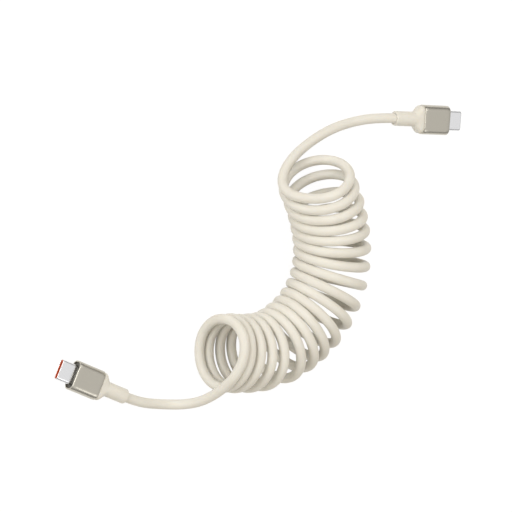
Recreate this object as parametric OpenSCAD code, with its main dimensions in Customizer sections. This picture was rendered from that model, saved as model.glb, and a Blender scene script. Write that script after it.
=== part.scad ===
// Curly USB-C cable: two metal plugs, a moulded boot on each, and a cord wound into a springy coil.
// Millimetres, +Z up. The cable lies on the plane z = 0, and the origin is midway between the plugs.
// Each plug is drawn in its own frame: +X runs from the cord's exit to the tip, and the plug rests on z = 0.

/* [Cord] */
// Outer diameter of the jacketed cord
cord_d = 4; // [3.4:0.1:4.6]
// Outer diameter of the coil
coil_d = 31.5; // [27:0.5:34]
// How far the coil's first turn leans back, in degrees
lean_a = 11; // [0:1:25]
// How far the coil's last turn leans back, in degrees
lean_b = 16; // [0:1:32]
// Diameter of one insulated wire inside the cord
wire_d = 0.9; // [0.6:0.05:1]

/* [Boot] */
// Length of the round part of the boot
boot_len = 9.8; // [6:0.2:16]
// Diameter of the round part of the boot
boot_d = 6; // [5.6:0.1:6.4]
// Radius on the boot's rear edge
boot_round = 0.5; // [0.2:0.1:0.8]
// Length of the collar that flares out to the sleeve
collar_len = 3.4; // [2.6:0.2:6]
// How far the collar stays inside the sleeve's outline
collar_step = 0.35; // [0.2:0.05:0.5]
// How far the boot's spigot plugs into the sleeve
spigot_len = 1.5; // [1:0.1:2]

/* [Sleeve] */
// Length of the metal sleeve
sleeve_len = 12.4; // [12:0.2:18]
// Width of the sleeve
sleeve_w = 12; // [11.8:0.1:14]
// Thickness of the sleeve
sleeve_t = 6.6; // [6.4:0.1:8]
// Corner radius of the sleeve's section
sleeve_corner = 2.6; // [1.8:0.1:3]
// Wall of the sleeve
sleeve_wall = 0.6; // [0.4:0.05:0.7]
// Bevel round the sleeve's two ends
sleeve_bevel = 0.35; // [0.1:0.05:0.5]
// Depth of the nose plate behind the sleeve's front rim
nose_recess = 0.6; // [0.3:0.1:1]
// Thickness of the nose plate
nose_t = 0.8; // [0.6:0.1:1.2]

/* [USB shell] */
// Width of the plug shell
shell_w = 8.34; // [8.2:0.02:8.4]
// Thickness of the plug shell
shell_t = 2.56; // [2.5:0.02:2.6]
// Wall of the plug shell
shell_wall = 0.28; // [0.2:0.02:0.3]
// Length of the shell in front of the sleeve
shell_out = 6.65; // [6.2:0.05:7]
// Length of the shell behind the sleeve's front rim
shell_in = 2.6; // [2.4:0.1:3.2]
// Length of the drawn-in lip at the shell's mouth
shell_lip = 0.3; // [0.1:0.05:0.5]

/* [Insulator] */
// Width of the slot that takes the socket's tongue
slot_w = 6.75; // [6.69:0.01:6.8]
// Height of the slot that takes the socket's tongue
slot_t = 1.16; // [1.1:0.02:1.2]
// Depth of that slot
slot_depth = 5.6; // [5:0.1:6]
// How far the insulator sits behind the shell's mouth
insulator_back = 0.15; // [0.05:0.05:0.3]

/* [Springs and contacts] */
// Number of contacts in each row
contact_n = 12; // [4:1:12]
// Spacing of the contacts
contact_pitch = 0.5; // [0.45:0.01:0.52]
// Width of a contact
contact_w = 0.25; // [0.2:0.01:0.3]
// Thickness of a contact
contact_t = 0.15; // [0.1:0.01:0.18]
// Length of a contact's tail on the board
tail_len = 1.4; // [1:0.1:2]
// Thickness of the latch plate
latch_t = 0.25; // [0.2:0.01:0.3]
// Width of a latch arm
latch_w = 0.28; // [0.2:0.01:0.32]
// How far a latch hook reaches in past its arm
latch_hook = 0.3; // [0.2:0.01:0.4]
// Thickness of the ground springs
ground_t = 0.1; // [0.08:0.01:0.12]
// Number of fingers on a ground spring
finger_n = 4; // [2:1:5]
// How far the contacts and the latch hooks end behind the tip
contact_back = 2.2; // [2:0.05:2.4]

/* [Board and shield] */
// Length of the circuit board
board_len = 6.6; // [6:0.1:7]
// Gap between the circuit board and the shield can on each side
board_gap = 0.2; // [0.1:0.05:0.5]
// Thickness of the circuit board
board_t = 0.8; // [0.6:0.05:0.8]
// Side of the square cable marker chip
chip_w = 2; // [1.6:0.1:2.6]
// Height of the chip
chip_t = 0.6; // [0.4:0.05:0.75]
// Plastic between the shield can and the sleeve on each side
mould_side = 0.6; // [0.5:0.05:0.7]
// Plastic between the shield can and the sleeve over and under it
mould_top = 0.4; // [0.35:0.05:0.5]
// Wall of the shield can and its crimp
can_wall = 0.3; // [0.2:0.02:0.32]
// Length of the crimp barrel behind the can
crimp_len = 3.4; // [2.6:0.1:4]

/* [Layout] */
// Heading of the first plug, in degrees from +X
turn_a = 126; // [90:1:160]
// Heading of the second plug, in degrees from +X
turn_b = -34; // [-60:1:0]

/* [Hidden] */
$fn = 48;
ENDS = ["a", "b"];
PLUG_PARTS = ["sleeve", "nose_plate", "boot", "shell", "insulator", "upper_contacts", "lower_contacts",
    "latch_plate", "ground_springs", "board", "board_chips", "shield_can", "inner_mould", "cord_end", "wires"];

// Places along the plug's own axis, from the cord's exit at 0 to the tip
axis_z = sleeve_t / 2;
sleeve_x0 = boot_len + collar_len;
sleeve_x1 = sleeve_x0 + sleeve_len;
tip_x = sleeve_x1 + shell_out;
shell_x0 = sleeve_x1 - shell_in;
nose_x1 = sleeve_x1 - nose_recess;
nose_x0 = nose_x1 - nose_t;
spigot_x1 = sleeve_x0 + spigot_len;
mould_back = 0.8;
can_x0 = spigot_x1 + mould_back;
crimp_x0 = can_x0 - crimp_len;
jacket_x1 = crimp_x0 + crimp_len / 2;
board_x0 = shell_x0 - board_len;
slot_x0 = tip_x - slot_depth;
insulator_x1 = tip_x - insulator_back;

// Sections that more than one piece shares
bore_w = sleeve_w - 2 * sleeve_wall;
bore_t = sleeve_t - 2 * sleeve_wall;
bore_corner = sleeve_corner - sleeve_wall;
can_w = bore_w - 2 * mould_side;
can_t = bore_t - 2 * mould_top;
can_corner = bore_corner - mould_side - mould_top;
board_w = can_w - 2 * can_wall - 2 * board_gap;
crimp_d = cord_d + 2 * can_wall;
fit = 0.02;
insulator_w = shell_w - 2 * shell_wall - 2 * fit;
insulator_t = shell_t - 2 * shell_wall - 2 * fit;

// Contacts: the beam runs in a groove over the slot and dips to the tongue near its front
contact_x1 = tip_x - contact_back;
beam_z = slot_t / 2 + 0.04;
groove_top = beam_z + contact_t + 0.06;
groove_gap = 0.05;
dip_z = 0.4;
dip_back = 0.9;

// Latch plate and its cut through the insulator's sides
latch_x1 = contact_x1;
latch_bar = 1;
latch_y = slot_w / 2 + 0.24;
latch_gap = 0.04;

// Ground springs, between the contacts and the insulator's front ring
ground_gap = 0.3;
ground_x0 = contact_x1 + ground_gap;
ground_len = 1;
ground_w = 6.2;
finger_w = 0.7;
finger_len = 0.6;
finger_in = 0.06;

// Wires: two over the board and two under it
wire_y = 0.7;
wire_z = board_t / 2 + wire_d / 2;
pad_y = 2.4;
fan_x0 = can_x0 + can_wall;
fan_x1 = board_x0 + 0.8;
wire_x1 = board_x0 + 2;

// Where each cord leaves its plug, and the route of each lead, in round numbers
plug_a = [-83.5, -15];
plug_b = [76.5, 14];
route_a = [[-78, -22, 2.7], [-72.5, -26, 2], [-67, -30, 2], [-65.5, -32.5, 2.2]];
// How the first lead climbs to the coil: the angle round the first turn from its top, the distance from the turn's
// middle, and the distance along the coil
climb_a = [[242, 25, 2], [260, 20, 2.5], [285, 18.5, -2.5], [306, 15.5, -4.6], [327, 14.4, -4.2]];
// How the second lead comes down from the last turn, in the same way
descend_b = [[122, 14.5, 4.4], [142, 15.6, 5]];
route_b = [[28.5, 27.5, 2.1], [37, 27.5, 2], [44.5, 26.8, 2], [52, 25.6, 2], [60.5, 22.7, 2], [68.5, 19, 2.6]];
// The line that the middle of the coil follows over the floor
coil_line = [[-44.5, -18], [-35, -25], [-24.5, -30], [-12.5, -31], [0, -28.5], [11.5, -21.5],
    [20, -10.5], [25, 3.5], [27, 21]];
// The stretches over which the turns lean less and lean more, as shares of the coil's length
ease_a = [0.13, 0.48];
ease_b = [0.26, 1.11];
// Where each lead meets the coil's end face, as an angle from the ring's top, and its straight foot there
foot_a = 348;
foot_b = 109;
foot_len = 2.4;
coil_steps = 3;
coil_sides = 24;
cord_sides = 10;

// Colours
ivory = [0.93, 0.91, 0.85];
nickel = [0.66, 0.64, 0.58];
steel = [0.84, 0.84, 0.86];
gold = [0.85, 0.68, 0.3];

// Geometry helpers
function unit(v) = v / norm(v);
function last(v) = v[len(v) - 1];
// A smooth curve through the points p, at the share t of the stretch that starts at point i
function before(p, i) = i > 0 ? p[i - 1] : 2 * p[0] - p[1];
function after(p, i) = i < len(p) ? p[i] : 2 * last(p) - p[len(p) - 2];
function curve(p, i, t) = let (a = before(p, i), b = p[i], c = after(p, i + 1), d = after(p, i + 2))
    0.5 * (2 * b + (c - a) * t + (2 * a - 5 * b + 4 * c - d) * t * t + (3 * b - a - 3 * c + d) * t * t * t);
// A round ring of n points in the plane across dir, starting at its highest point
function ring(at, dir, r, n) = let (side = unit(cross([0, 0, 1], dir)), up = cross(unit(dir), side))
    [for (k = [0:n - 1]) at + r * (cos(360 * k / n) * up + sin(360 * k / n) * side)];
function heading(p, i) = unit((i < len(p) - 1 ? p[i + 1] : p[i]) - (i > 0 ? p[i - 1] : p[i]));
function turned(deg) = [cos(deg), sin(deg), 0];

// A closed tube through rings of n points each
module skin(rings, n) {
    m = len(rings);
    sides = [for (i = [0:m - 2], k = [0:n - 1])
        [i * n + k, i * n + (k + 1) % n, (i + 1) * n + (k + 1) % n, (i + 1) * n + k]];
    polyhedron([for (r = rings) each r],
        concat([[for (k = [n - 1:-1:0]) k]], sides, [[for (k = [0:n - 1]) (m - 1) * n + k]]));
}

// A tube of the cord's diameter along the points p, with its two ends square to dir0 and dir1
module cord(p, dir0, dir1) {
    m = len(p);
    dirs = [for (i = [0:m - 1]) i == 0 ? dir0 : i == m - 1 ? dir1 : heading(p, i)];
    skin([for (i = [0:m - 1]) ring(p[i], dirs[i], cord_d / 2, cord_sides)], cord_sides);
}

module round_rect(w, t, r) {
    square([w - 2 * r, t], center = true);
    square([w, t - 2 * r], center = true);
    for (x = [-1, 1], y = [-1, 1]) translate([x * (w / 2 - r), y * (t / 2 - r)]) circle(r);
}

module obround(w, t) round_rect(w, t, t / 2 - 0.001);

// Lays a section across the plug's axis, from x0 to x1
module along(x0, x1) translate([x0, 0, axis_z]) rotate([90, 0, 90]) linear_extrude(x1 - x0) children();

// A thin slice of a section, for the ends of a blend
module slice(x) {
    thin = 0.01;
    along(x, x + thin) children();
}

// A block across the plug's axis, by its limits along x, y and the height over the axis
module block(x, y, z) translate([x[0], y[0], axis_z + z[0]]) cube([x[1] - x[0], y[1] - y[0], z[1] - z[0]]);

module at_end(e) {
    at = e == "a" ? plug_a : plug_b;
    translate([at.x, at.y, 0]) rotate([0, 0, e == "a" ? turn_a : turn_b]) children();
}

// Metal sleeve: a drawn tube with bevelled ends, open right through
module sleeve() color(nickel) difference() {
    union() {
        along(sleeve_x0 + sleeve_bevel, sleeve_x1 - sleeve_bevel) round_rect(sleeve_w, sleeve_t, sleeve_corner);
        hull() {
            slice(sleeve_x0) sleeve_outline(sleeve_bevel);
            slice(sleeve_x0 + sleeve_bevel) sleeve_outline(0);
        }
        hull() {
            slice(sleeve_x1 - sleeve_bevel - 0.01) sleeve_outline(0);
            slice(sleeve_x1 - 0.01) sleeve_outline(sleeve_bevel);
        }
    }
    along(sleeve_x0 - 1, sleeve_x1 + 1) round_rect(bore_w, bore_t, bore_corner);
}

module sleeve_outline(inset)
    round_rect(sleeve_w - 2 * inset, sleeve_t - 2 * inset, sleeve_corner - inset, $fn = 32);

// Dark plate set back in the sleeve's mouth, round the shell
module nose_plate() color([0.3, 0.3, 0.28]) difference() {
    along(nose_x0, nose_x1) round_rect(bore_w, bore_t, bore_corner);
    along(nose_x0 - 1, nose_x1 + 1) obround(shell_w, shell_t);
}

// Moulded boot: a round tail, a collar that flares to the sleeve's outline, and a spigot inside the sleeve
module boot() color(ivory) difference() {
    union() {
        translate([0, 0, axis_z]) rotate([0, 90, 0]) rotate_extrude() boot_profile();
        hull() {
            slice(boot_len - 0.5) circle(d = boot_d, $fn = 32);
            slice(boot_len + collar_len * 0.45) round_rect(sleeve_w * 0.84, boot_d, sleeve_corner, $fn = 32);
        }
        hull() {
            slice(boot_len + collar_len * 0.45) round_rect(sleeve_w * 0.84, boot_d, sleeve_corner, $fn = 32);
            slice(boot_len + collar_len * 0.75) sleeve_outline(collar_step);
            slice(sleeve_x0 - 0.01) sleeve_outline(collar_step);
        }
        along(sleeve_x0 - 0.5, spigot_x1) round_rect(bore_w, bore_t, bore_corner);
    }
    translate([-1, 0, axis_z]) rotate([0, 90, 0]) cylinder(d = cord_d, h = spigot_x1 + 2);
    translate([crimp_x0, 0, axis_z]) rotate([0, 90, 0]) cylinder(d = crimp_d, h = crimp_len);
}

// Half section of the boot's round tail, with its rear edge rounded
module boot_profile() {
    r = boot_d / 2;
    square([r - boot_round, boot_len]);
    translate([0, boot_round]) square([r, boot_len - boot_round]);
    translate([r - boot_round, boot_round]) circle(boot_round);
}

// Plug shell: a seamless steel tube whose mouth is drawn in a little
module shell() color(steel) difference() {
    union() {
        along(shell_x0, tip_x - shell_lip) obround(shell_w, shell_t);
        hull() {
            slice(tip_x - shell_lip - 0.01) obround(shell_w, shell_t);
            slice(tip_x - 0.01) obround(shell_w - shell_wall, shell_t - shell_wall);
        }
    }
    along(shell_x0 - 1, tip_x + 1) obround(shell_w - 2 * shell_wall, shell_t - 2 * shell_wall);
}

// Insulator: the plastic core that holds the contacts, with the slot for the socket's tongue
module insulator() color([0.86, 0.27, 0.12]) difference() {
    along(shell_x0, insulator_x1) obround(insulator_w, insulator_t);
    block([slot_x0, tip_x], [-slot_w / 2, slot_w / 2], [-slot_t / 2, slot_t / 2]);
    for (up = [0, 1]) mirror_row(up) {
        contact_grooves();
        ground_seat();
    }
    latch_cut();
}

// Turns a row over to the underside of the plug's mid-plane
module mirror_row(up) translate([0, 0, axis_z]) mirror([0, 0, up]) translate([0, 0, -axis_z]) children();

function contact_y(i) = (i - (contact_n - 1) / 2) * contact_pitch;

module contact_grooves() for (i = [0:contact_n - 1])
    block([shell_x0 - 1, contact_x1 + 0.1],
        [contact_y(i) - contact_w / 2 - groove_gap, contact_y(i) + contact_w / 2 + groove_gap],
        [board_t / 2, groove_top]);

// One row of contacts: tails on the board, beams in the grooves, and a dip that meets the tongue
module contacts() color(gold) for (i = [0:contact_n - 1])
    translate([0, contact_y(i) + contact_w / 2, axis_z]) rotate([90, 0, 0]) linear_extrude(contact_w)
        contact_profile();

module contact_profile() {
    line = [[shell_x0 - tail_len, board_t / 2], [shell_x0 + 0.3, board_t / 2], [shell_x0 + 0.9, beam_z],
        [contact_x1 - 2 * dip_back, beam_z], [contact_x1 - dip_back, dip_z], [contact_x1, beam_z]];
    polygon(concat(line, [for (i = [len(line) - 1:-1:0]) line[i] + [0, contact_t]]));
}

// Latch plate: a flat fork whose arms spring into the socket's side notches
module latch_plate() color(steel) {
    z = [-latch_t / 2, latch_t / 2];
    block([shell_x0, shell_x0 + latch_bar], [-latch_y, latch_y], z);
    for (side = [0, 1]) mirror([0, side, 0])
        translate([0, 0, axis_z - latch_t / 2]) linear_extrude(latch_t) polygon([
            [shell_x0, latch_y - latch_w], [latch_x1 - 1, latch_y - latch_w],
            [latch_x1 - 0.6, latch_y - latch_w - latch_hook], [latch_x1 - 0.25, latch_y - latch_w - latch_hook],
            [latch_x1, latch_y - latch_w], [latch_x1, latch_y], [shell_x0, latch_y]]);
}

module latch_cut() {
    z = [-latch_t / 2 - latch_gap, latch_t / 2 + latch_gap];
    block([shell_x0 - 1, shell_x0 + latch_bar + latch_gap], [-latch_y - latch_gap, latch_y + latch_gap], z);
    for (side = [0, 1]) mirror([0, side, 0])
        block([shell_x0 - 1, latch_x1 + 0.15], [latch_y - latch_w - latch_gap, insulator_w], z);
}

// Ground springs: a thin plate over and under the insulator, with fingers that reach through windows
module ground_springs() color(steel) for (up = [0, 1]) mirror_row(up) {
    top = insulator_t / 2;
    block([ground_x0, ground_x0 + ground_len], [-ground_w / 2, ground_w / 2], [top - ground_t, top]);
    ground_fingers(0, slot_t / 2 - finger_in);
}

module ground_seat() {
    top = insulator_t / 2;
    block([ground_x0, ground_x0 + ground_len], [-ground_w / 2, ground_w / 2], [top - ground_t, top + 1]);
    ground_fingers(groove_gap, 0);
}

module ground_fingers(gap, bottom) for (i = [0:finger_n - 1]) {
    y = (i - (finger_n - 1) / 2) * ground_w / finger_n;
    x = ground_x0 + (ground_len - finger_len) / 2;
    block([x - gap, x + finger_len + gap], [y - finger_w / 2 - gap, y + finger_w / 2 + gap],
        [bottom, insulator_t / 2 - ground_t]);
}

// Circuit board between the wires and the contacts' tails
module board() color([0.1, 0.35, 0.2])
    block([board_x0, shell_x0], [-board_w / 2, board_w / 2], [-board_t / 2, board_t / 2]);

// Cable marker chip over the board, and two small capacitors under it
module board_chips() color([0.12, 0.12, 0.13]) {
    x = (wire_x1 + shell_x0 - tail_len) / 2;
    top = board_t / 2;
    block([x - chip_w / 2, x + chip_w / 2], [-chip_w / 2, chip_w / 2], [top, top + chip_t]);
    for (y = [-1.2, 1.2])
        block([x - 0.25, x + 0.25], [y - 0.5, y + 0.5], [-top - 0.5, -top]);
}

// Shield can: a drawn box round the board, soldered to the shell, with a barrel crimped on the cord
module shield_can() color(steel) difference() {
    union() {
        along(can_x0, nose_x0) round_rect(can_w, can_t, can_corner);
        translate([crimp_x0, 0, axis_z]) rotate([0, 90, 0]) cylinder(d = crimp_d, h = crimp_len + can_wall);
    }
    along(can_x0 + can_wall, nose_x0 - can_wall)
        round_rect(can_w - 2 * can_wall, can_t - 2 * can_wall, can_corner - can_wall);
    translate([crimp_x0 - 1, 0, axis_z]) rotate([0, 90, 0]) cylinder(d = cord_d, h = crimp_len + 2);
    along(nose_x0 - 2 * can_wall, nose_x0 + 1) obround(shell_w, shell_t);
}

// Inner mould: hard plastic that fills the sleeve round the shield can
module inner_mould() color([0.85, 0.84, 0.8]) difference() {
    along(spigot_x1, nose_x0) round_rect(bore_w, bore_t, bore_corner);
    along(can_x0, nose_x0 + 1) round_rect(can_w, can_t, can_corner);
    translate([spigot_x1 - 1, 0, axis_z]) rotate([0, 90, 0]) cylinder(d = crimp_d, h = 2 + mould_back);
}

// The cord's jacket inside the boot, cut square where the wires leave it
module cord_end() color(ivory)
    translate([0, 0, axis_z]) rotate([0, 90, 0]) cylinder(d = cord_d, h = jacket_x1);

// Four wires: straight out of the jacket, fanned out behind the board, and laid on it
module wires() for (y = [-1, 1], z = [-1, 1])
    color(z > 0 ? (y > 0 ? "red" : "black") : (y > 0 ? "green" : "white")) {
        a = [jacket_x1, y * wire_y, axis_z + z * wire_z];
        b = [fan_x0, y * wire_y, axis_z + z * wire_z];
        c = [fan_x1, y * pad_y, axis_z + z * wire_z];
        d = [wire_x1, y * pad_y, axis_z + z * wire_z];
        rod(a, b);
        rod(b, c);
        rod(c, d);
        translate(b) sphere(d = wire_d);
        translate(c) sphere(d = wire_d);
    }

// A round bar from p to q, which lie at one height
module rod(p, q) {
    run = q - p;
    translate(p) rotate([0, 90, atan2(run.y, run.x)]) cylinder(d = wire_d, h = norm(run));
}

// The coil as a solid of its outer shape, whose turns stand on the floor and lean back at both ends
coil_r = (coil_d - cord_d) / 2;
coil_count = (len(coil_line) - 1) * coil_steps;
function coil_share(j) = j / coil_count;
function ease(way, t) = let (s = min(max((t - way[0]) / (way[1] - way[0]), 0), 1)) s * s * (3 - 2 * s);
function coil_lean(j) = lean_b * ease(ease_b, coil_share(j)) - lean_a * (1 - ease(ease_a, coil_share(j)));
function coil_floor(j) = let (i = min(floor(j / coil_steps), len(coil_line) - 2))
    curve(coil_line, i, j / coil_steps - i);
function coil_at(j) = let (p = coil_floor(j)) [p.x, p.y, coil_r * cos(coil_lean(j)) + cord_d / 2];
function coil_along(j) = let (
        a = coil_floor(max(j - 0.5, 0)), b = coil_floor(min(j + 0.5, coil_count)), run = unit(b - a),
        lean = coil_lean(j)) [run.x * cos(lean), run.y * cos(lean), sin(lean)];

module coil() color(ivory)
    skin([for (j = [0:coil_count]) ring(coil_at(j), coil_along(j), coil_d / 2, coil_sides)], coil_sides);

// A point near a turn: its angle from the turn's top, its distance from the middle, and how far along the coil
function near_turn(j, angle, r, along) = ring(coil_at(j), coil_along(j), r, 360)[angle] + along * coil_along(j);

module lead_a() color(ivory) {
    way = coil_along(0);
    foot = near_turn(0, foot_a, coil_r, 0);
    climb = [for (c = climb_a) near_turn(0, c[0], c[1], c[2])];
    cord(concat([[plug_a.x, plug_a.y, axis_z]], route_a, climb, [foot - foot_len * way, foot]), -turned(turn_a), way);
}

module lead_b() color(ivory) {
    way = coil_along(coil_count);
    foot = near_turn(coil_count, foot_b, coil_r, 0);
    descent = [for (c = descend_b) near_turn(coil_count, c[0], c[1], c[2])];
    cord(concat([foot, foot + foot_len * way], descent, route_b, [[plug_b.x, plug_b.y, axis_z]]), way, turned(turn_b));
}

for (e = ENDS) {
    at_end(e) sleeve();
    at_end(e) nose_plate();
    at_end(e) boot();
    at_end(e) shell();
    at_end(e) insulator();
    at_end(e) contacts();
    at_end(e) mirror_row(1) contacts();
    at_end(e) latch_plate();
    at_end(e) ground_springs();
    at_end(e) board();
    at_end(e) board_chips();
    at_end(e) shield_can();
    at_end(e) inner_mould();
    at_end(e) cord_end();
    at_end(e) wires();
}
lead_a();
lead_b();
coil();
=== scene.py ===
# %% [markdown]
# A curly USB-C cable
#
# The real thing is a soft ivory cord that was wound on a bar and heated, so that it springs back into a coil, with a
# USB-C plug on each end: a steel shell, a metal sleeve and a moulded boot. It lies on a table. The imported CAD model is
# loaded first, because it fixes the size and the place of everything; Blender then gives each part its real surface.

# %% Load the frame and keep its place and size
import math

import bmesh
import bpy
import numpy as np
from mathutils import Matrix, Quaternion, Vector


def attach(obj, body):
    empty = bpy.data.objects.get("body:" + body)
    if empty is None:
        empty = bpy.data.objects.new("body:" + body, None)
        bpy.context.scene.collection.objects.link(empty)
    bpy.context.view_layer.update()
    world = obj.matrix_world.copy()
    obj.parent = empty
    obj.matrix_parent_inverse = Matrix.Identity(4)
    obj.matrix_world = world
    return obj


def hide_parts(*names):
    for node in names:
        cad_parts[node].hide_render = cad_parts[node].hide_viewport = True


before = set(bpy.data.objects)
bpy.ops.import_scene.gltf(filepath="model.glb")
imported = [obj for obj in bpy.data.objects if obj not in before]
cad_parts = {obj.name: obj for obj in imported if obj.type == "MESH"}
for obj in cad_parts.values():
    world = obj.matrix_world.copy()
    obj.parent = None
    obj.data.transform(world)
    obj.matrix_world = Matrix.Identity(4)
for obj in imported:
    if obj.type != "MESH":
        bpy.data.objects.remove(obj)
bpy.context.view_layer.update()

MM = 0.001

# %% [markdown]
# The camera
#
# A product photograph of something this small is taken from far off with a long lens, so that near and far parts keep
# the same scale. The camera looks down at about 58 degrees, and it is rolled until the cable runs up the picture from
# its lower left. Its place is worked out from two angles, a distance and a roll, which can be read and changed.

# %% Set up the camera
AIM = Vector((-4.5, -0.8, 0)) * MM
AZIMUTH, ELEVATION, ROLL = math.radians(135.74), math.radians(57.73), math.radians(102.99)
DISTANCE = 1422.2 * MM

toward_camera = Vector((math.cos(ELEVATION) * math.cos(AZIMUTH), math.cos(ELEVATION) * math.sin(AZIMUTH),
                        math.sin(ELEVATION)))
camera = bpy.data.objects.new("camera", bpy.data.cameras.new("camera"))
bpy.context.scene.collection.objects.link(camera)
camera.data.lens = 250
camera.data.sensor_width = 36
camera.data.clip_start, camera.data.clip_end = 0.05, 20
turn = toward_camera.to_track_quat("Z", "Y") @ Quaternion((0, 0, 1), ROLL)
camera.matrix_world = Matrix.LocRotScale(AIM + toward_camera * DISTANCE, turn, None)
bpy.context.scene.camera = camera
print("camera at", [round(v / MM) for v in camera.matrix_world.translation], "mm")

# %% [markdown]
# Writing nodes as sums
#
# A material is a graph of nodes, and a graph drawn by hand is slow to read in a script. So an output is wrapped in a
# small class that knows plus, minus and times: a sum written on it adds Math nodes. Every other kind of node comes from
# one method, which takes the node's type, its settings, and the values or links of its sockets.

# %% A socket that can be added and multiplied, and a graph that makes nodes
class Socket:
    def __init__(self, graph, out):
        self.graph, self.out = graph, out

    def named(self, name):
        return Socket(self.graph, self.out.node.outputs[name])

    def __add__(self, other):
        return self.graph.math("ADD", self, other)

    def __sub__(self, other):
        return self.graph.math("SUBTRACT", self, other)

    def __rsub__(self, other):
        return self.graph.math("SUBTRACT", other, self)

    def __mul__(self, other):
        return self.graph.math("MULTIPLY", self, other)

    __radd__, __rmul__ = __add__, __mul__


class Graph:
    def __init__(self, tree):
        self.tree = tree

    def make(self, kind, settings=None, sockets=None, out=0):
        """A node: its settings first, then its sockets, and the wanted output."""
        node = self.tree.nodes.new(kind)
        for name, value in (settings or {}).items():
            if name == "stops":
                while len(node.color_ramp.elements) < len(value):
                    node.color_ramp.elements.new(0.5)
                for stop, (place, colour) in zip(node.color_ramp.elements, value):
                    stop.position, stop.color = place, (*colour, 1)
            else:
                setattr(node, name, value)
        for name, value in (sockets or {}).items():
            if isinstance(value, Socket):
                self.tree.links.new(value.out, node.inputs[name])
            else:
                node.inputs[name].default_value = value
        return Socket(self, node.outputs[out]) if node.outputs else None

    def end(self, kind, sockets):
        self.make(kind, None, sockets)

    def math(self, kind, a, b=0.0):
        return self.make("ShaderNodeMath", {"operation": kind}, {0: a, 1: b})


# %% [markdown]
# Floor and light
#
# The studio is plain: a white table, a pale sky all round, and three soft lamps. The key comes in low from behind the
# coil's inner side, a second lamp hangs over the table, and a faint one across from the key lights the metal's edges.
# The floor would need a lot of light to turn white, and that light would bleach the ivory. So to the camera most of the
# floor's white is its own glow, and a fifth of it is an ordinary pale surface that takes the shadow. The metal mirrors
# the sky, which is bright overhead and dim at the horizon, so that its round sides show dark bands.

# %% Make the floor
def flat_sheet(name, size):
    half = size / 2
    mesh = bpy.data.meshes.new(name)
    mesh.from_pydata([(-half, -half, 0), (half, -half, 0), (half, half, 0), (-half, half, 0)], [], [(0, 1, 2, 3)])
    sheet = bpy.data.objects.new(name, mesh)
    bpy.context.scene.collection.objects.link(sheet)
    return sheet


GLOW, GLOW_SHARE = 1.17, 0.8

floor = flat_sheet("floor", 12)
floor_finish = bpy.data.materials.new("table_white")
floor_finish.use_nodes = True
floor_finish.node_tree.nodes.clear()
g = Graph(floor_finish.node_tree)
ray = g.make("ShaderNodeLightPath", out="Is Camera Ray")
shown = g.math("MAXIMUM", g.math("MAXIMUM", ray, ray.named("Is Glossy Ray")), ray.named("Is Transmission Ray"))
paper = g.make("ShaderNodeBsdfDiffuse", None, {"Color": (0.66, 0.65, 0.63, 1)})
glow = g.make("ShaderNodeEmission", None, {"Color": (1, 1, 1, 1), "Strength": GLOW})
surface = g.make("ShaderNodeMixShader", None, {0: shown * GLOW_SHARE, 1: paper, 2: glow})
g.end("ShaderNodeOutputMaterial", {"Surface": surface})
floor.data.materials.append(floor_finish)
print("floor", tuple(round(v, 1) for v in floor.dimensions))

# %% Light it
SKY_LIGHT, SKY_HUE = 0.63, (1, 0.93, 0.81, 1)
HORIZON, OVERHEAD = (0.02, 0.1), (0.75, 0.85)

bpy.context.scene.view_settings.view_transform = "Standard"
world = bpy.data.worlds.new("pale_room")
bpy.context.scene.world = world
world.use_nodes = True
world.node_tree.nodes.clear()
g = Graph(world.node_tree)
ray = g.make("ShaderNodeLightPath", out="Is Camera Ray")
mirror = g.math("MAXIMUM", ray.named("Is Glossy Ray"), ray.named("Is Transmission Ray"))
height = g.make("ShaderNodeSeparateXYZ", None, {0: g.make("ShaderNodeTexCoord", out="Generated")}, out="Z")
sky = g.make("ShaderNodeMapRange", {"interpolation_type": "SMOOTHSTEP"},
             {"Value": height, "From Min": HORIZON[0], "From Max": OVERHEAD[0],
              "To Min": HORIZON[1], "To Max": OVERHEAD[1]})
level = g.math("MAXIMUM", ray, mirror * sky + (1 - mirror) * SKY_LIGHT)
seen = g.math("MAXIMUM", ray, mirror)
hue = g.make("ShaderNodeMix", {"data_type": "RGBA"}, {0: seen, 6: SKY_HUE, 7: (1, 1, 1, 1)}, out=2)
g.end("ShaderNodeOutputWorld", {"Surface": g.make("ShaderNodeBackground", None, {"Color": hue, "Strength": level})})


def soft_lamp(name, way, reach, size, share):
    """A square lamp that adds this share of plain light to a surface facing it."""
    lamp = bpy.data.objects.new(name, bpy.data.lights.new(name, "AREA"))
    bpy.context.scene.collection.objects.link(lamp)
    lamp.data.shape, lamp.data.size = "SQUARE", size
    lamp.data.energy = share * 4 * math.pi * reach ** 2
    way = Vector(way).normalized()
    lamp.matrix_world = Matrix.LocRotScale(AIM + way * reach, way.to_track_quat("Z", "Y"), None)


soft_lamp("key_lamp", (-0.66, 0.66, 0.37), 1.1, 0.6, 0.28)
soft_lamp("top_lamp", (0.31, 0.53, 0.79), 1.1, 0.6, 0.24)
soft_lamp("edge_lamp", (-0.1, -0.75, 0.65), 1.2, 0.4, 0.05)

# %% [markdown]
# The line that the cord follows
#
# A coiled cord is one long line: a lead, a helix whose axis bends over the table, and another lead. The axis is a
# smooth curve through nine points on the floor. The turns touch where the coil bends inwards, so the pitch, the step
# along the axis per turn, has to grow with the bend. The end turns lean back, as those of a resting coil do, and the
# last one leans and turns a little more, because its lead lifts it.

# %% The route over the floor, within a few millimetres of the CAD model's
CORD_D = 4.0
COIL_R = 13.75
AXIS_Z = 3.3
EXIT = {"a": (-83.5, -15.0), "b": (76.5, 14.0)}
HEADING = {"a": 126.0, "b": -34.0}
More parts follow.
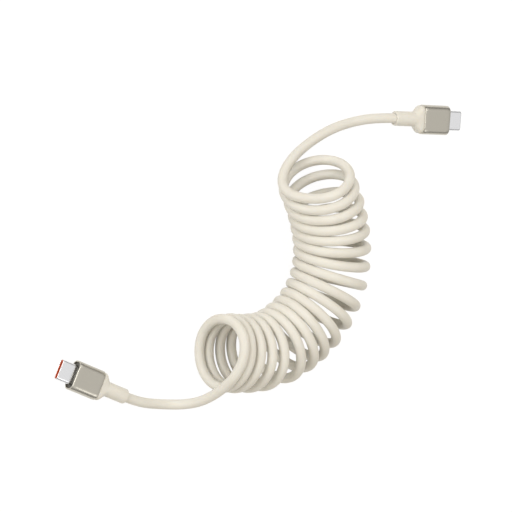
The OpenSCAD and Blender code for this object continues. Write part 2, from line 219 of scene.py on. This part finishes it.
# Each lead's own points, and the climb to the first turn as angle from its top, distance from its middle, and drift
ROUTE_A = [(-78, -22, 2.7), (-72.5, -26.3, 2.1), (-68, -29.7, 2)]
CLIMB_A = [(121, 27.2, -5), (110, 23.1, -1.4), (92, 18.1, -0.5), (63, 14.8, -0.5), (35, 14.4, -0.3),
           (7, 15.2, 0.2), (-20, 15.8, 0.7), (-50, 15.3, 1)]
ROUTE_B = [(12.5, 19.4, 15.5), (13.6, 21.9, 11.6), (16.8, 24, 8.6), (21.5, 25.6, 6.3), (26.6, 26.5, 4.7),
           (32.4, 26.9, 3.5), (38.6, 26.8, 2.7), (45.3, 26.3, 2.1), (52, 25.2, 2), (60.5, 22.5, 2),
           (68.5, 19, 2.6)]
# The axis of the coil seen from above, and how far the turns lean back, in degrees, over which share of it
COIL_LINE = [(-44.9, -17.7), (-35, -25), (-24.5, -30), (-12.5, -31), (0, -28.5),
             (11.5, -21.5), (20, -10.5), (25, 3.5), (27.5, 19.5)]
LEAN_A, LEAN_B = 11, 16
EASE_A, EASE_B = (0.13, 0.48), (0.26, 1.11)
TIP_LEAN, TIP_TURN, TIP_EASE = 12, 4, (0.8, 1.04)
# The phase of the helix at both ends and where the leads join it, in degrees
FIRST_PHASE, LAST_PHASE = 12, -109 - 360 * 18
JOIN_A, JOIN_B = -85, LAST_PHASE + 40
# Steps between two points of a lead, points of the helix that steer its end, and how the joined line settles
LEAD_STEPS, GUARD = 40, 20
SETTLED, RELAX_ROUNDS = 14, 20
ROUGH_STEP, FINE_STEP = 1.3, 0.9


def smooth_line(points, steps):
    """A Catmull-Rom curve through the points, with so many steps between each two."""
    p = np.array(points, float)
    p = np.vstack([2 * p[0] - p[1], p, 2 * p[-1] - p[-2]])
    t = np.arange(steps)[:, None] / steps
    parts = [0.5 * (2 * b + (c - a) * t + (2 * a - 5 * b + 4 * c - d) * t ** 2 + (3 * b - a - 3 * c + d) * t ** 3)
             for a, b, c, d in zip(p, p[1:], p[2:], p[3:])]
    return np.vstack(parts + [p[-2][None]])


def evenly(points, count=None, step=None):
    """The same line with its points an equal distance apart, and its length."""
    run = np.concatenate([[0], np.cumsum(np.linalg.norm(np.diff(points, axis=0), axis=1))])
    places = np.linspace(0, run[-1], count or int(run[-1] / step) + 1)
    return np.stack([np.interp(places, run, points[:, i]) for i in range(points.shape[1])], axis=1), run[-1]


# %% Wind the helix round the axis
def eased(start, end, share):
    s = np.clip((share - start) / (end - start), 0, 1)
    return s * s * (3 - 2 * s)


PARTS = 4000
axis, axis_length = evenly(smooth_line(COIL_LINE, 80), count=PARTS + 1)
step = axis_length / PARTS
bearing = np.unwrap(np.arctan2(np.gradient(axis[:, 1]), np.gradient(axis[:, 0])))
bearing = np.convolve(np.pad(bearing, 100, mode="edge"), np.ones(201) / 201, "valid")
share = np.linspace(0, 1, PARTS + 1)
bearing += np.radians(TIP_TURN * eased(*TIP_EASE, share))
lean = np.radians(LEAN_B * eased(*EASE_B, share) - LEAN_A * (1 - eased(*EASE_A, share))
                  + TIP_LEAN * eased(*TIP_EASE, share))
bend = np.hypot(np.gradient(bearing, step), np.gradient(lean, step))
pitch = CORD_D / (1 - COIL_R * bend) / np.cos(lean)
turns = np.concatenate([[0], np.cumsum(step / pitch[:-1])])
phase = np.radians(FIRST_PHASE + (LAST_PHASE - FIRST_PHASE) * turns / turns[-1])
flat_way = np.stack([np.cos(bearing), np.sin(bearing), 0 * bearing], axis=1)
upright = np.array([0, 0, 1.0])
way = flat_way * np.cos(lean)[:, None] + upright * np.sin(lean)[:, None]
ring_up = upright * np.cos(lean)[:, None] - flat_way * np.sin(lean)[:, None]
ring_side = np.cross(way, ring_up)
middle = np.column_stack([axis, COIL_R * np.cos(lean) + CORD_D / 2])
helix = middle + COIL_R * (np.cos(phase)[:, None] * ring_up + np.sin(phase)[:, None] * ring_side)
print("turns", round((FIRST_PHASE - LAST_PHASE) / 360, 1), "turns that would touch", round(turns[-1], 1))


# %% Join the leads to the first and the last turn, and let them relax
def near_first_turn(angle, radius, drift):
    """A point near the first turn: its angle from the turn's top, its distance from the middle, and its drift."""
    a = math.radians(angle)
    return middle[0] + radius * (math.cos(a) * ring_up[0] + math.sin(a) * ring_side[0]) + drift * way[0]


def on_plug_axis(end, x, drop=0.0):
    a = math.radians(HEADING[end])
    return np.array([EXIT[end][0] + x * math.cos(a), EXIT[end][1] + x * math.sin(a), AXIS_Z - drop])


def relaxed(points, free, rounds):
    """The line after its free points have moved, again and again, towards the middle of their neighbours."""
    for _ in range(rounds):
        aim = points.copy()
        aim[1:-1] = (points[:-2] + points[2:]) / 2
        points = points + 0.5 * free[:, None] * (aim - points)
    return points


climb = [near_first_turn(*c) for c in CLIMB_A]
start = [on_plug_axis("a", 0.3), on_plug_axis("a", -2.2, 0.1)]
finish = [on_plug_axis("b", -2.2, 0.1), on_plug_axis("b", 0.3)]
helix = helix[(phase < math.radians(JOIN_A)) & (phase > math.radians(JOIN_B))]
lead_a = smooth_line(np.vstack([start, ROUTE_A, climb, helix[:1], helix[GUARD:GUARD + 1]]),
                     LEAD_STEPS)[:-LEAD_STEPS - 1]
lead_b = smooth_line(np.vstack([helix[-GUARD - 1:-GUARD], helix[-1:], ROUTE_B, finish]), LEAD_STEPS)[LEAD_STEPS + 1:]
route, _ = evenly(np.vstack([lead_a, helix[:-1], lead_b]), step=ROUGH_STEP)
ends = [np.linalg.norm(np.diff(lead, axis=0), axis=1).sum() / ROUGH_STEP for lead in (lead_a, lead_b)]
i = np.arange(len(route))
free = np.clip(np.maximum(ends[0] + SETTLED - i, i - len(route) + ends[1] + SETTLED) / 10, 0, 1)
free[:3] = free[-3:] = 0
route = relaxed(route, free, RELAX_ROUNDS)
route, cord_length = evenly(smooth_line(route, 3), step=FINE_STEP)
print("cord length in mm", round(cord_length), "points", len(route), "lowest", round(route[:, 2].min(), 2))


# %% [markdown]
# The cord
#
# The jacket is a round tube along that line. A tree of Geometry Nodes sweeps a circle along a curve, which keeps the
# sides round through every bend. It also stores, on the surface, where round the cord and how far along it a point is,
# for the finish to use, because a pattern in space would not follow an extruded jacket.

# %% Sweep the tube with Geometry Nodes
def tube_tree():
    tree = bpy.data.node_groups.new("jacket_on_a_route", "GeometryNodeTree")
    tree.interface.new_socket("Geometry", in_out="OUTPUT", socket_type="NodeSocketGeometry")
    asked = {"Route": "Geometry", "Radius": "Float", "Sides": "Int", "Finish": "Material"}
    keys = {n: tree.interface.new_socket(n, in_out="INPUT", socket_type="NodeSocket" + k).identifier
            for n, k in asked.items()}
    g = Graph(tree)
    given = g.make("NodeGroupInput")
    ring = g.make("GeometryNodeCurvePrimitiveCircle", {"mode": "RADIUS"},
                  {"Resolution": given.named("Sides"), "Radius": given.named("Radius")})
    store = {"data_type": "FLOAT_VECTOR", "domain": "POINT"}
    ring = g.make("GeometryNodeStoreNamedAttribute", store,
                  {"Geometry": ring, "Name": "round_the_cord", "Value": g.make("GeometryNodeInputPosition")})
    far = g.make("GeometryNodeSplineParameter", out="Length")
    line = g.make("GeometryNodeStoreNamedAttribute", {"data_type": "FLOAT", "domain": "POINT"},
                  {"Geometry": given.named("Route"), "Name": "along_the_cord", "Value": far})
    tube = g.make("GeometryNodeCurveToMesh", None, {"Curve": line, "Profile Curve": ring, "Fill Caps": True})
    tube = g.make("GeometryNodeSetShadeSmooth", None, {"Geometry": tube})
    tube = g.make("GeometryNodeRealizeInstances", None, {"Geometry": tube})
    tube = g.make("GeometryNodeSetMaterial", None, {"Geometry": tube, "Material": given.named("Finish")})
    g.end("NodeGroupOutput", {"Geometry": tube})
    return tree, keys


def swept_cord(name, points, radius, sides, finish):
    curve = bpy.data.curves.new(name + "_line", "CURVE")
    curve.dimensions = "3D"
    spline = curve.splines.new("POLY")
    spline.points.add(len(points) - 1)
    for point, at in zip(spline.points, points):
        point.co = (*(at * MM), 1)
    line = bpy.data.objects.new(name + "_line", curve)
    bpy.context.scene.collection.objects.link(line)
    tree, keys = tube_tree()
    modifier = line.modifiers.new("sweep", "NODES")
    modifier.node_group = tree
    for key, value in {"Radius": radius * MM, "Sides": sides, "Finish": finish}.items():
        modifier[keys[key]] = value
    made = line.evaluated_get(bpy.context.evaluated_depsgraph_get())
    mesh = bpy.data.meshes.new_from_object(made, preserve_all_data_layers=True,
                                           depsgraph=bpy.context.evaluated_depsgraph_get())
    mesh.name = name
    bpy.data.objects.remove(line)
    piece = bpy.data.objects.new(name, mesh)
    bpy.context.scene.collection.objects.link(piece)
    return piece


# %% [markdown]
# The ivory jacket
#
# The jacket is a soft-touch thermoplastic rubber. It is matte, a little translucent at its skin, and never one even
# colour: the hue drifts slowly, the skin has a fine grain, and extrusion leaves faint lines along the cord.

# %% Ivory finishes for the cord and the moulded boots
def new_finish(name):
    finish = bpy.data.materials.new(name)
    finish.use_nodes = True
    finish.node_tree.nodes.clear()
    return finish, Graph(finish.node_tree)


def close_finish(g, constants, sockets):
    """The shader, with the values that are the same everywhere set on its own sockets."""
    shader = g.make("ShaderNodeBsdfPrincipled", None, {**constants, **sockets})
    g.end("ShaderNodeOutputMaterial", {"Surface": shader})


def ivory(name, place, grain):
    finish, g = new_finish(name)
    here = g.make("ShaderNodeTexCoord", out="Object")
    cloud = g.make("ShaderNodeTexNoise", None, {"Vector": here, "Scale": 90.0, "Detail": 3.0})
    fine = g.make("ShaderNodeTexNoise", None, {"Vector": here, "Scale": grain, "Detail": 4.0, "Roughness": 0.6})
    tone = g.make("ShaderNodeMapRange", None, {"Value": cloud, "From Min": 0.3, "From Max": 0.7})
    colour = g.make("ShaderNodeMix", {"data_type": "RGBA"},
                    {0: tone, 6: (0.745, 0.725, 0.67, 1), 7: (0.795, 0.78, 0.725, 1)}, out=2)
    rough = 0.44 + 0.14 * fine
    height = fine
    if place == "cord":
        ring = g.make("ShaderNodeAttribute", {"attribute_name": "round_the_cord"}, out="Vector")
        along = g.make("ShaderNodeAttribute", {"attribute_name": "along_the_cord"}, out="Fac")
        apart = g.make("ShaderNodeSeparateXYZ", None, {0: ring}, out="X")
        drawn = g.make("ShaderNodeCombineXYZ", None, {0: apart, 1: apart.named("Y"), 2: along * 0.02})
        lines = g.make("ShaderNodeTexNoise", None, {"Vector": drawn, "Scale": 2600.0, "Detail": 2.0})
        height = fine + 0.5 * lines
    bump = g.make("ShaderNodeBump", None, {"Strength": 0.25, "Distance": 0.00004, "Height": height})
    close_finish(g, {"Subsurface Weight": 0.12, "Subsurface Radius": (1.0, 0.8, 0.55), "Subsurface Scale": 0.0008,
                     "IOR": 1.46},
                 {"Base Color": colour, "Roughness": rough, "Normal": bump})
    return finish


cord_ivory = ivory("ivory_jacket", "cord", 5200.0)
boot_ivory = ivory("ivory_boot", "boot", 4200.0)

cord = swept_cord("curly_cord", route, CORD_D / 2, 24, cord_ivory)
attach(cord, "root")
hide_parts("lead_a", "lead_b", "coil")
route * MM
print("cord faces", len(cord.data.polygons), "attributes", [a.name for a in cord.data.attributes][:6])

# %% [markdown]
# Outlines and lofts
#
# Every shell of the plug has one section that changes along its length: a circle that grows into a rounded rectangle,
# or an outline that is drawn in at an edge. That is a loft: outlines at stations along the plug, joined point by point.
# All outlines here have the same number of points, an equal step apart, so that any two of them can be joined.

# %% Outlines, stations and the loft
ROUND = 96


def outline(width, thickness, corner):
    """Points an equal step apart round a rounded rectangle, from the middle of its +Y side."""
    w, t, c = width / 2, thickness / 2, min(corner, width / 2, thickness / 2)
    arc = np.radians(np.linspace(0, 90, 40))
    quarter = np.vstack([[(w, 0)], np.column_stack([w - c + c * np.cos(arc), t - c + c * np.sin(arc)]), [(0, t)]])
    quarter, _ = evenly(quarter, count=ROUND // 4 + 1)
    half = np.vstack([quarter, quarter[-2::-1] * (-1, 1)])
    return np.vstack([half, half[-2:0:-1] * (1, -1)])


def loft(name, end, stations, finish):
    """A closed mesh through (x, outline) stations, in the frame of one plug, with a UV map in millimetres."""
    rings = [np.column_stack([np.full(ROUND, x), shape]) for x, shape in stations]
    spread = [0.0]
    for a, b in zip(rings, rings[1:] + rings[:1]):
        spread.append(spread[-1] + float(np.linalg.norm(b - a, axis=1).mean()))
    girth = float(np.linalg.norm(np.diff(rings[len(rings) // 2], axis=0), axis=1).sum()) * ROUND / (ROUND - 1)
    mesh = bmesh.new()
    uv = mesh.loops.layers.uv.new("along_the_plug")
    a = math.radians(HEADING[end])
    place = Matrix.Translation(Vector((*EXIT[end], AXIS_Z))) @ Matrix.Rotation(a, 4, "Z")
    verts = [[mesh.verts.new((place @ Vector(p)) * MM) for p in ring] for ring in rings]
    for i in range(len(rings)):
        for k in range(ROUND):
            j, m = (i + 1) % len(rings), (k + 1) % ROUND
            face = mesh.faces.new((verts[i][k], verts[i][m], verts[j][m], verts[j][k]))
            for loop, (u, v) in zip(face.loops, ((k, i), (k + 1, i), (k + 1, i + 1), (k, i + 1))):
                loop[uv].uv = (u / ROUND * girth, spread[v])
    bmesh.ops.remove_doubles(mesh, verts=mesh.verts, dist=2e-7)
    bmesh.ops.recalc_face_normals(mesh, faces=mesh.faces)
    made = bpy.data.meshes.new(name)
    mesh.to_mesh(made)
    mesh.free()
    made.polygons.foreach_set("use_smooth", [True] * len(made.polygons))
    made.set_sharp_from_angle(angle=math.radians(38))
    made.materials.append(finish)
    piece = bpy.data.objects.new(name, made)
    bpy.context.scene.collection.objects.link(piece)
    return piece


# %% [markdown]
# The sleeve
#
# The metal sleeve is a drawn tube with its two ends turned over in a small bevel. The face is satin, as if blasted and
# lightly brushed, and the bevels and the round sides have the same finish; they look brighter only where they mirror
# the lamps. It is a loft that goes out along the outside and
# back along the bore, so that it has a real wall, and the nose plate is seen set back in its mouth.

# %% Sizes along the plug, as the CAD model has them, and the sleeves
BOOT_LEN, BOOT_D, COLLAR_LEN = 9.8, 6.0, 3.4
SLEEVE_X0 = BOOT_LEN + COLLAR_LEN
SLEEVE_X1 = SLEEVE_X0 + 12.4
SLEEVE_W, SLEEVE_T, SLEEVE_C, WALL, BEVEL = 12.0, 6.6, 2.6, 0.6, 0.35
BEVEL_CURVE = [(BEVEL, 0), (0.22, 0.05), (0.12, 0.13), (0.04, 0.24), (0, BEVEL)]
TIP_X = SLEEVE_X1 + 6.65
SHELL_X0 = SLEEVE_X1 - 2.6
SPIGOT_X1 = SLEEVE_X0 + 1.5
CRIMP_X0 = SPIGOT_X1 + 0.8 - 3.4
SHELL_W, SHELL_T, SHELL_WALL = 8.34, 2.56, 0.28


def sleeve_outline(inset):
    return outline(SLEEVE_W - 2 * inset, SLEEVE_T - 2 * inset, SLEEVE_C - inset)


def sleeve_stations():
    rear = [(SLEEVE_X0 + d, sleeve_outline(inset)) for d, inset in reversed(BEVEL_CURVE)]
    front = [(SLEEVE_X1 - d, sleeve_outline(inset)) for d, inset in BEVEL_CURVE]
    steps = [(x, sleeve_outline(0)) for x in np.linspace(SLEEVE_X0 + BEVEL, SLEEVE_X1 - BEVEL, 9)[1:-1]]
    bore = [(SLEEVE_X1, sleeve_outline(WALL - 0.06)), (SLEEVE_X1 - 0.06, sleeve_outline(WALL)),
            (SLEEVE_X0 + 0.06, sleeve_outline(WALL)), (SLEEVE_X0, sleeve_outline(WALL - 0.06))]
    return rear + steps + front + bore


def metal(name, colour, roughness, draw, grain, strength):
    """A metal that is worked along the plug: fine lines along it, a grain over them, and a slow change of gloss."""
    finish, g = new_finish(name)
    spot = g.make("ShaderNodeUVMap", {"uv_map": "along_the_plug"})
    drawn = g.make("ShaderNodeMapping", None, {"Vector": spot, "Scale": (1, draw, 1)})
    lines = g.make("ShaderNodeTexNoise", None, {"Vector": drawn, "Scale": 9.0, "Detail": 4.0, "Roughness": 0.7})
    here = g.make("ShaderNodeTexCoord", out="Object")
    fine = g.make("ShaderNodeTexNoise", None, {"Vector": here, "Scale": grain, "Detail": 3.0})
    cloud = g.make("ShaderNodeTexNoise", None, {"Vector": here, "Scale": 260.0, "Detail": 2.0})
    dark, light = [(*(c * k for c in colour), 1) for k in (0.93, 1.05)]
    tint = g.make("ShaderNodeMix", {"data_type": "RGBA"}, {0: lines, 6: dark, 7: light}, out=2)
    bump = g.make("ShaderNodeBump", None, {"Strength": strength, "Distance": 0.00002, "Height": fine + lines})
    close_finish(g, {"Metallic": 1.0},
                 {"Base Color": tint, "Roughness": roughness - 0.05 + 0.1 * cloud, "Normal": bump})
    return finish


nickel = metal("satin_nickel", (0.54, 0.51, 0.44), 0.3, 0.06, 9000.0, 0.35)
steel = metal("shell_steel", (0.86, 0.86, 0.87), 0.24, 0.04, 12000.0, 0.2)
nose_dark = metal("dark_nose", (0.13, 0.125, 0.11), 0.38, 1.0, 7000.0, 0.3)

for end in "ab":
    sleeve = loft("nickel_sleeve_" + end, end, sleeve_stations(), nickel)
    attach(sleeve, "root")
    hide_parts("sleeve_" + end)
print("sleeve faces", len(sleeve.data.polygons))

# %% [markdown]
# The nose plate
#
# A dark plate closes the sleeve's mouth round the shell. Its outer edge is softened, and it is dished a little towards
# the shell, so that it shades like a moulding and not like a cut sheet.

# %% Nose plates
NOSE_X1 = SLEEVE_X1 - 0.6
NOSE_X0 = NOSE_X1 - 0.8


def nose_stations():
    bore = lambda inset: sleeve_outline(WALL + inset)
    hole = lambda grow: outline(SHELL_W + 2 * grow, SHELL_T + 2 * grow, 2)
    return [(NOSE_X0, bore(0)), (NOSE_X1 - 0.12, bore(0)), (NOSE_X1 - 0.03, bore(0.04)), (NOSE_X1, bore(0.14)),
            (NOSE_X1, bore(0.5)), (NOSE_X1 - 0.05, hole(0.3)), (NOSE_X1 - 0.08, hole(0.06)), (NOSE_X1 - 0.14, hole(0)),
            (NOSE_X0, hole(0))]


for end in "ab":
    nose = loft("dark_nose_" + end, end, nose_stations(), nose_dark)
    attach(nose, "root")
    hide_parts("nose_plate_" + end)

# %% [markdown]
# The boot
#
# The boot is moulded over the cord. Its tail is round, with a softly rounded rear edge and a fine gap round the cord;
# then it swells into a collar that meets the sleeve. The swelling is a blend of a circle and the sleeve's outline that
# eases in and out, which a straight loft between the two would not do.

# %% Boots
def blended(s):
    """The boot's outline from the round tail, s = 0, to the collar, s = 1."""
    ease = s * s * (3 - 2 * s)
    return outline(BOOT_D, BOOT_D, BOOT_D / 2) * (1 - ease) + sleeve_outline(0.35) * ease


def boot_stations():
    tail = lambda inset: outline(BOOT_D - 2 * inset, BOOT_D - 2 * inset, 3)
    rear = [(0.5 * (1 - math.cos(a)), tail(0.5 * (1 - math.sin(a)))) for a in np.radians([0, 18, 36, 54, 72, 90])]
    swell = [(BOOT_LEN - 0.9 + (COLLAR_LEN * 0.75 + 0.9) * s, blended(s)) for s in np.linspace(0, 1, 15)]
    collar = [(SLEEVE_X0 - 0.12, sleeve_outline(0.35)), (SLEEVE_X0 - 0.02, sleeve_outline(0.42)),
              (SLEEVE_X0 - 0.02, sleeve_outline(WALL + 0.02)), (SPIGOT_X1, sleeve_outline(WALL + 0.02))]
    bore = [(SPIGOT_X1, outline(4.6, 4.6, 3)), (CRIMP_X0, outline(4.6, 4.6, 3)), (CRIMP_X0, outline(4.1, 4.1, 3)),
            (0.25, outline(4.1, 4.1, 3)), (0.06, outline(4.25, 4.25, 3))]
    return rear + [(x, tail(0)) for x in (2.5, 4.5, 6.5)] + swell + collar + bore


for end in "ab":
    boot = loft("moulded_boot_" + end, end, boot_stations(), boot_ivory)
    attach(boot, "root")
    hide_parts("boot_" + end)
print("boot faces", len(boot.data.polygons))

# %% [markdown]
# The shell
#
# The shell is a seamless steel tube, deep drawn and then rolled in at the mouth so that it finds the socket. Its edge
# is round outside and inside. The draw leaves fine lines along it.

# %% Shells
LIP_CURVE = [(0.42, 0), (0.3, 0.01), (0.18, 0.035), (0.08, 0.08), (0.02, 0.125), (0, 0.17), (0.02, 0.22), (0.07, 0.26),
             (0.15, 0.28)]


def shell_outline(inset):
    return outline(SHELL_W - 2 * inset, SHELL_T - 2 * inset, 2)


def shell_stations():
    tube = [(x, shell_outline(0)) for x in np.linspace(SHELL_X0, TIP_X - 0.6, 9)]
    lip = [(TIP_X - d, shell_outline(inset)) for d, inset in LIP_CURVE]
    return tube + lip + [(SHELL_X0, shell_outline(SHELL_WALL))]


for end in "ab":
    shell = loft("drawn_shell_" + end, end, shell_stations(), steel)
    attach(shell, "root")
    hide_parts("shell_" + end)

# %% [markdown]
# The parts that keep their CAD shape
#
# The orange core and its gold contacts show in the mouth of the shell, and everything else is inside the plug. Their
# CAD solids are right as they are. Each gets a finish of its own: moulded plastic, plated springs, a solder mask.

# %% Plain finishes for the inner parts
def plain(name, colour, other, roughness, metallic, scale, strength):
    finish, g = new_finish(name)
    here = g.make("ShaderNodeTexCoord", out="Object")
    cloud = g.make("ShaderNodeTexNoise", None, {"Vector": here, "Scale": scale, "Detail": 4.0})
    fine = g.make("ShaderNodeTexNoise", None, {"Vector": here, "Scale": scale * 7, "Detail": 2.0})
    tint = g.make("ShaderNodeMix", {"data_type": "RGBA"}, {0: cloud, 6: (*colour, 1), 7: (*other, 1)}, out=2)
    bump = g.make("ShaderNodeBump", None, {"Strength": strength, "Distance": 0.00002, "Height": fine})
    close_finish(g, {"Metallic": metallic}, {"Base Color": tint, "Roughness": roughness - 0.06 + 0.12 * fine,
                                             "Normal": bump})
    return finish


KEPT = {
    "insulator": plain("orange_insulator", (0.56, 0.095, 0.035), (0.66, 0.13, 0.05), 0.42, 0.0, 900.0, 0.2),
    "upper_contacts": plain("contact_gold", (0.82, 0.58, 0.22), (0.92, 0.7, 0.33), 0.26, 1.0, 1500.0, 0.1),
    "latch_plate": plain("spring_steel", (0.62, 0.61, 0.6), (0.72, 0.71, 0.7), 0.3, 1.0, 1500.0, 0.15),
    "board": plain("board_green", (0.02, 0.11, 0.05), (0.03, 0.16, 0.075), 0.35, 0.0, 700.0, 0.1),
    "board_chips": plain("chip_black", (0.02, 0.02, 0.022), (0.035, 0.035, 0.037), 0.5, 0.0, 1200.0, 0.15),
    "shield_can": plain("can_steel", (0.66, 0.65, 0.63), (0.76, 0.75, 0.73), 0.36, 1.0, 800.0, 0.2),
    "inner_mould": plain("mould_grey", (0.60, 0.585, 0.54), (0.66, 0.645, 0.6), 0.55, 0.0, 600.0, 0.15),
}
KEPT["lower_contacts"] = KEPT["upper_contacts"]
KEPT["ground_springs"] = KEPT["latch_plate"]
KEPT["cord_end"] = boot_ivory


def wire_finish(end):
    """Four wires of different colours in one node, told apart by which side of the plug's axis they are on."""
    finish, g = new_finish("wire_colours_" + end)
    a = math.radians(HEADING[end])
    here = g.make("ShaderNodeTexCoord", out="Object")
    local = g.make("ShaderNodeMapping", {"vector_type": "TEXTURE"},
                   {"Vector": here, "Location": Vector((*EXIT[end], AXIS_Z)) * MM, "Rotation": (0, 0, a)})
    apart = g.make("ShaderNodeSeparateXYZ", None, {0: local}, out="Y")
    left, upper = g.math("GREATER_THAN", apart, 0), g.math("GREATER_THAN", apart.named("Z"), 0)
    mix = lambda f, p, q: g.make("ShaderNodeMix", {"data_type": "RGBA"}, {0: f, 6: p, 7: q}, out=2)
    over = mix(left, (0.02, 0.02, 0.02, 1), (0.6, 0.03, 0.02, 1))
    under = mix(left, (0.75, 0.75, 0.73, 1), (0.02, 0.3, 0.08, 1))
    fine = g.make("ShaderNodeTexNoise", None, {"Vector": here, "Scale": 3000.0, "Detail": 2.0})
    close_finish(g, {}, {"Base Color": mix(upper, under, over), "Roughness": 0.35 + 0.1 * fine})
    return finish


for end in "ab":
    finishes = {**KEPT, "wires": wire_finish(end)}
    for part, finish in finishes.items():
        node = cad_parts[part + "_" + end]
        node.data.materials.clear()
        node.data.materials.append(finish)
print("nodes with a finish", 2 * len(finishes))
